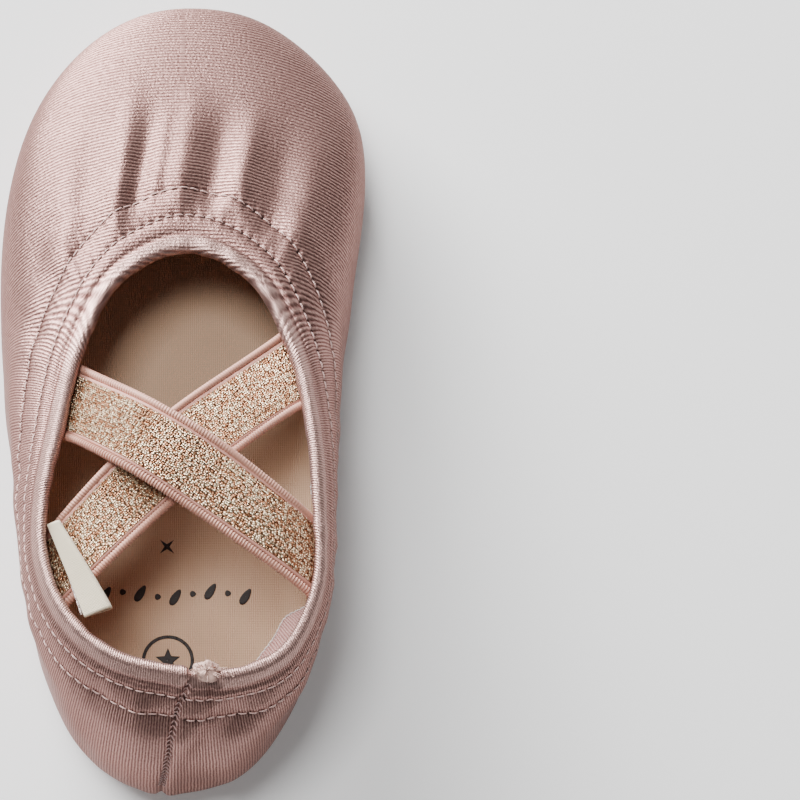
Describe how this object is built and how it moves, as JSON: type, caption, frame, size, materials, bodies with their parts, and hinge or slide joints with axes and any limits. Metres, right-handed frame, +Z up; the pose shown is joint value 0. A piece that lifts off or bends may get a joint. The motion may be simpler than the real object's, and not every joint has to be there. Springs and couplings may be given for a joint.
{
  "type": "ballet slipper",
  "caption": "Soft low slipper with a gathered satin upper, a rolled elastic rim, a suede sole and two crossed elastic straps over the opening.",
  "frame": {"origin": "under the middle of the slipper, on the floor its sole rests on", "axes": "+Y towards the toe, +Z up, +X towards the other foot's slipper (this is the left foot's)"},
  "size_m": [0.074, 0.1646, 0.0423],
  "materials": {
    "outsole": "sueded split leather, beige",
    "outsole_thread": "twisted thread",
    "midsole_foam": "soft closed-cell foam",
    "insole_sock": "cotton jersey, matt",
    "upper_satin": "ribbed satin, soft shine",
    "upper_lining": "cotton, matt",
    "topline_facing": "ribbed satin, soft shine",
    "topline_cord": "covered elastic cord",
    "thread": "twisted thread",
    "tuft": "frayed cord end",
    "strap_web": "elastic with metallic yarn, glittering",
    "strap_edge": "covered edge cord, satin shine",
    "label": "woven ribbon, matt"
  },
  "bodies": {
    "slipper": {"outsole": "outsole", "outsole_thread": "outsole_thread", "midsole_foam": "midsole_foam", "insole_sock": "insole_sock", "upper_satin": "upper_satin", "upper_lining": "upper_lining", "topline_facing": "topline_facing", "topline_cord": "topline_cord", "topline_cord_tuck": "tuft", "casing_thread_inner": "thread", "casing_thread_outer": "thread", "facing_overlock_thread": "thread", "heel_seam_thread": "thread", "over_strap_tack_left": "thread", "over_strap_tack_right": "thread", "under_strap_tack_left": "thread", "under_strap_tack_right": "thread", "label_thread": "thread"},
    "over_strap": {"over_strap_web": "strap_web", "over_strap_cord_front": "strap_edge", "over_strap_cord_rear": "strap_edge"},
    "under_strap": {"under_strap_web": "strap_web", "under_strap_cord_front": "strap_edge", "under_strap_cord_rear": "strap_edge"},
    "label": {"label_loop": "label"}
  },
  "joints": [
    {"name": "under_strap_lift", "type": "slide", "parent": "slipper", "child": "under_strap", "axis": [0, 0, 1], "range_m": [0, 0.018], "stiffness_N_per_m": 60, "deforming": ["under_strap_web", "under_strap_cord_front", "under_strap_cord_rear"]},
    {"name": "over_strap_lift", "type": "slide", "parent": "slipper", "child": "over_strap", "axis": [0, 0, 1], "range_m": [0, 0.018], "stiffness_N_per_m": 60, "deforming": ["over_strap_web", "over_strap_cord_front", "over_strap_cord_rear"]},
    {"name": "label_flip", "type": "hinge", "parent": "slipper", "child": "label", "pos_m": [-0.0223, -0.04351, 0.03674], "axis": [0.323, -0.9464, 0], "range_deg": [-15, 75], "stiffness_Nm_per_rad": 0.0003}
  ],
  "couplings": [
    {"joint": "over_strap_lift", "follows": "under_strap_lift", "ratio": 1}
  ]
}
